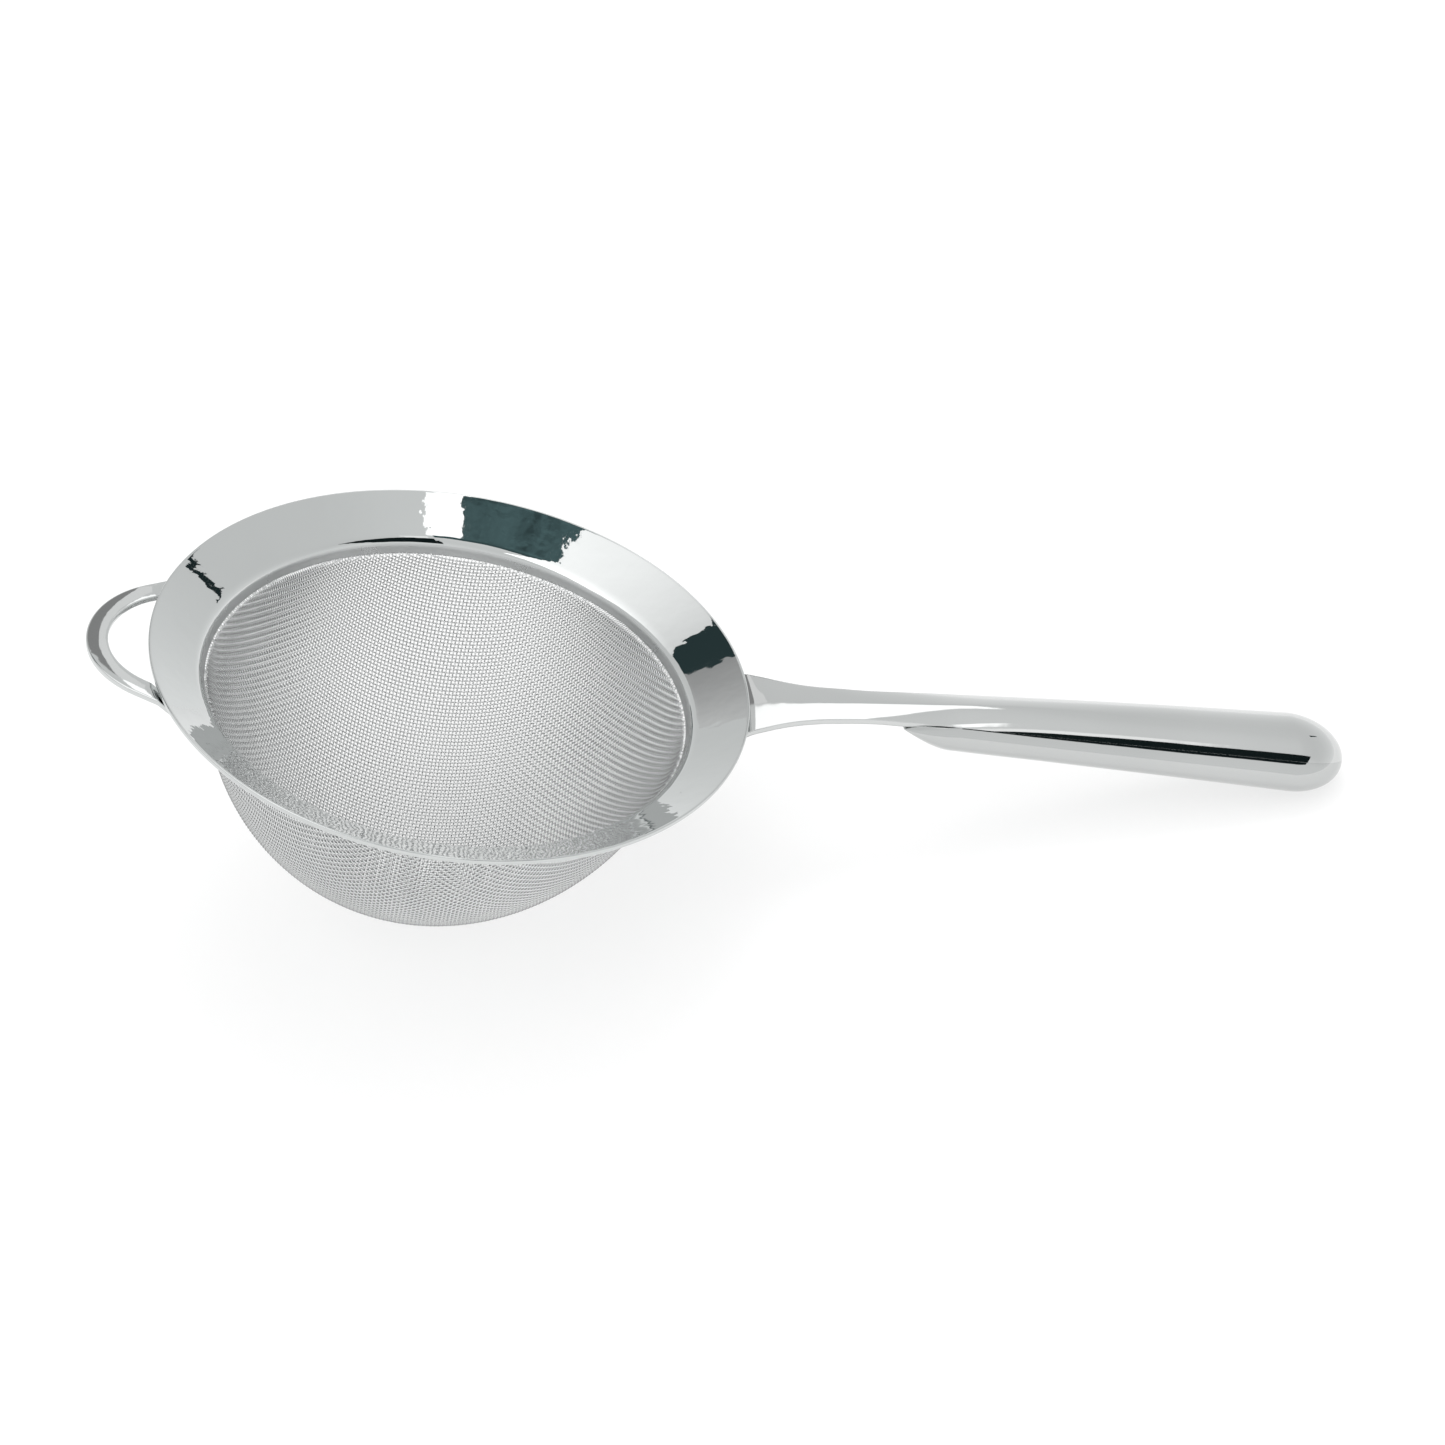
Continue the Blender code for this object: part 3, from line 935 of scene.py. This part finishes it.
def soft_light(name, place, aim, size, power):
    """A rectangular lamp aimed at a point, which no mirror shows."""
    lamp = bpy.data.lights.new(name, "AREA")
    lamp.shape = "RECTANGLE"
    lamp.size, lamp.size_y = size
    lamp.energy = power
    light = bpy.data.objects.new(name, lamp)
    light.location = place
    light.rotation_euler = (Vector(aim) - Vector(place)).to_track_quat("-Z", "Y").to_euler()
    light.visible_glossy = False
    bpy.context.scene.collection.objects.link(light)
    return light


soft_light("soft_key", (0.0, 0.43, 1.05), (0.0, 0.0, 0.0), (0.55, 0.45), 1.9)
soft_light("broad_fill", (0.0, -0.2, 2.4), (0.0, 0.0, 0.0), (3.2, 3.2), 22.0)


def ramp(tree, value, stops):
    """A grey ramp through (position, brightness) stops."""
    curve = tree.nodes.new("ShaderNodeValToRGB")
    while len(curve.color_ramp.elements) < len(stops):
        curve.color_ramp.elements.new(0.5)
    for element, (position, grey) in zip(curve.color_ramp.elements, stops):
        element.position = position
        element.color = (grey, grey * air_coolness, grey * air_coolness, 1.0)
    tree.links.new(value, curve.inputs["Fac"])
    return curve


def studio_air():
    """Pale air: brightest along the horizon, greyest halfway up, and bright to a greater height in front."""
    air = bpy.data.worlds.new("studio_air")
    air.use_nodes = True
    tree = air.node_tree
    direction = tree.nodes.new("ShaderNodeTexCoord")
    parts = tree.nodes.new("ShaderNodeSeparateXYZ")
    tree.links.new(direction.outputs["Generated"], parts.inputs["Vector"])
    around = ramp(tree, parts.outputs["Z"], [(0.0, 1.02), (0.1, 0.93), (0.26, 0.86), (0.42, 0.80),
                                             (0.6, 0.78), (0.75, 0.80), (0.87, 0.86), (1.0, 0.90)])
    front = ramp(tree, parts.outputs["Z"], [(0.0, 0.95), (0.6, 0.93), (0.8, 0.85), (1.0, 0.80)])
    facing = tree.nodes.new("ShaderNodeMapRange")
    facing.interpolation_type = "SMOOTHSTEP"
    facing.inputs["From Min"].default_value = -0.15
    facing.inputs["From Max"].default_value = -0.6
    tree.links.new(parts.outputs["Y"], facing.inputs["Value"])
    mixer = tree.nodes.new("ShaderNodeMix")
    mixer.data_type = "RGBA"
    tree.links.new(facing.outputs["Result"], mixer.inputs["Factor"])
    tree.links.new(around.outputs["Color"], mixer.inputs["A"])
    tree.links.new(front.outputs["Color"], mixer.inputs["B"])
    tree.links.new(mixer.outputs["Result"], tree.nodes["Background"].inputs["Color"])
    return air


bpy.context.scene.world = studio_air()
bpy.context.scene.view_settings.view_transform = "Standard"
print("lamps and air are set")

# %% [markdown]
# ## Cards for the steel to mirror
# High overhead hang a wide white card on the left and a narrow one on the right, with a dark gap between
# them. Smaller cards and dark flags hang further out, for the loop, the neck and the grip to mirror, and one
# thin pole stands at the side. The rim picks up one line of this ceiling as it turns, so each card shows as a
# patch across it, and the slight waves of the sheet fray the edges. The cards only show in reflections.

# %% Hang the cards
ceiling = 3.0
cool_dark = (0.55, 0.95, 1.0)
neutral = (1.0, 1.0, 1.0)
pole_distance = 3.0
pole_width = 0.15
pole_foot_share = 0.3
cloud_scale = 5.0


def glowing(name, near, far, colour, clouds=0.0):
    """Card light that changes evenly from near edge to far edge, with a cloudy unevenness if asked."""
    material = bpy.data.materials.new(name)
    material.use_nodes = True
    tree = material.node_tree
    tree.nodes.clear()
    output = tree.nodes.new("ShaderNodeOutputMaterial")
    glow = tree.nodes.new("ShaderNodeEmission")
    glow.inputs["Color"].default_value = (*colour, 1.0)
    place = tree.nodes.new("ShaderNodeTexCoord")
    parts = tree.nodes.new("ShaderNodeSeparateXYZ")
    blend = tree.nodes.new("ShaderNodeMapRange")
    blend.inputs["To Min"].default_value = near
    blend.inputs["To Max"].default_value = far
    tree.links.new(place.outputs["Generated"], parts.inputs["Vector"])
    tree.links.new(parts.outputs["Y"], blend.inputs["Value"])
    strength = blend.outputs["Result"]
    if clouds:
        uneven = spread(tree, noise(tree, place, cloud_scale, 3.0), 1.0 - clouds, 1.0 + clouds)
        product = tree.nodes.new("ShaderNodeMath")
        product.operation = "MULTIPLY"
        tree.links.new(strength, product.inputs[0])
        tree.links.new(uneven.outputs["Result"], product.inputs[1])
        strength = product.outputs["Value"]
    tree.links.new(strength, glow.inputs["Strength"])
    tree.links.new(glow.outputs["Emission"], output.inputs["Surface"])
    return material


def only_mirrored(card):
    """Keeps a card out of the view and out of the light on dull things."""
    card.visible_camera = False
    card.visible_diffuse = False
    card.visible_shadow = False
    return card


def ceiling_card(name, left, right, front, back, near, far, colour, clouds):
    """A level card overhead; near and far are its brightness at the front and the back."""
    corners = [(left, front, ceiling), (right, front, ceiling), (right, back, ceiling), (left, back, ceiling)]
    return only_mirrored(flat_card(name, corners, glowing(name + "_light", near, far, colour, clouds)))


# Name, left, right, front, back, brightness at the front and at the back, tint, cloudiness.
cards = [
    ("card_left", -2.7, 0.0, -1.6, 2.0, 2.05, 1.0, neutral, 0.0),
    ("card_gap", 0.0, 0.91, -0.12, 0.7, 0.15, 0.12, cool_dark, 0.45),
    ("card_gap_front", 0.0, 1.22, -0.5, -0.12, 0.10, 0.10, cool_dark, 0.0),
    ("card_right", 0.91, 1.17, -0.12, 1.95, 1.75, 1.7, neutral, 0.0),
    ("card_right_edge", 1.17, 1.30, -0.12, 0.35, 1.75, 1.7, neutral, 0.0),
    ("flag_back", -2.3, -0.5, 2.0, 2.8, 0.055, 0.055, cool_dark, 0.0),
    ("flag_back_fade", -2.3, -0.8, 2.8, 5.4, 0.42, 0.74, neutral, 0.0),
    ("flag_loop", -0.35, 0.45, 3.6, 5.2, 0.32, 0.32, neutral, 0.0),
    ("card_loop", 0.45, 0.85, 3.6, 5.2, 0.95, 0.95, neutral, 0.0),
    ("card_neck", 0.50, 1.38, 1.95, 3.55, 1.7, 1.6, neutral, 0.0),
    ("card_line", 1.31, 1.73, -0.84, -0.36, 1.2, 1.2, neutral, 0.0),
    ("flag_front", 1.25, 3.6, -3.3, -0.86, 0.015, 0.015, cool_dark, 0.0),
]
for card in cards:
    ceiling_card(*card)


def standing_pole(name, azimuth, low, high):
    """A thin dark upright, azimuth to the right of straight back, between two elevations."""
    x, y = math.sin(azimuth) * pole_distance, math.cos(azimuth) * pole_distance
    head_x, head_y = math.cos(azimuth) * pole_width / 2.0, -math.sin(azimuth) * pole_width / 2.0
    foot_x, foot_y = head_x * pole_foot_share, head_y * pole_foot_share
    foot, head = math.tan(low) * pole_distance, math.tan(high) * pole_distance
    corners = [(x - foot_x, y - foot_y, foot), (x + foot_x, y + foot_y, foot),
               (x + head_x, y + head_y, head), (x - head_x, y - head_y, head)]
    return only_mirrored(flat_card(name, corners, glowing(name + "_dark", 0.03, 0.03, cool_dark)))


standing_pole("pole", math.radians(52.0), math.radians(22.0), math.radians(31.0))
print("cards hung:", len(cards))

# %% [markdown]
# ## The camera
# A long lens from above and in front keeps the circles calm. The camera is tipped a little to one side.

# %% Camera
camera_aim = Vector((-0.0023, -0.0053, 0.030))
camera_distance = 0.575
camera_azimuth = math.radians(-1.093)
camera_elevation = math.radians(38.504)
camera_roll = math.radians(-5.630)

away = Vector((math.sin(camera_azimuth) * math.cos(camera_elevation),
               -math.cos(camera_azimuth) * math.cos(camera_elevation), math.sin(camera_elevation)))
lens = bpy.data.cameras.new("camera")
lens.sensor_width = 36.0
lens.lens = 87.2
lens.clip_start = 0.01
camera = bpy.data.objects.new("camera", lens)
camera.location = camera_aim + away * camera_distance
facing = (-away).to_track_quat("-Z", "Y").to_matrix().to_4x4()
camera.rotation_euler = (facing @ Matrix.Rotation(camera_roll, 4, "Z")).to_euler()
bpy.context.scene.collection.objects.link(camera)
bpy.context.scene.camera = camera
print("camera stands at, m:", [round(v, 3) for v in camera.location])
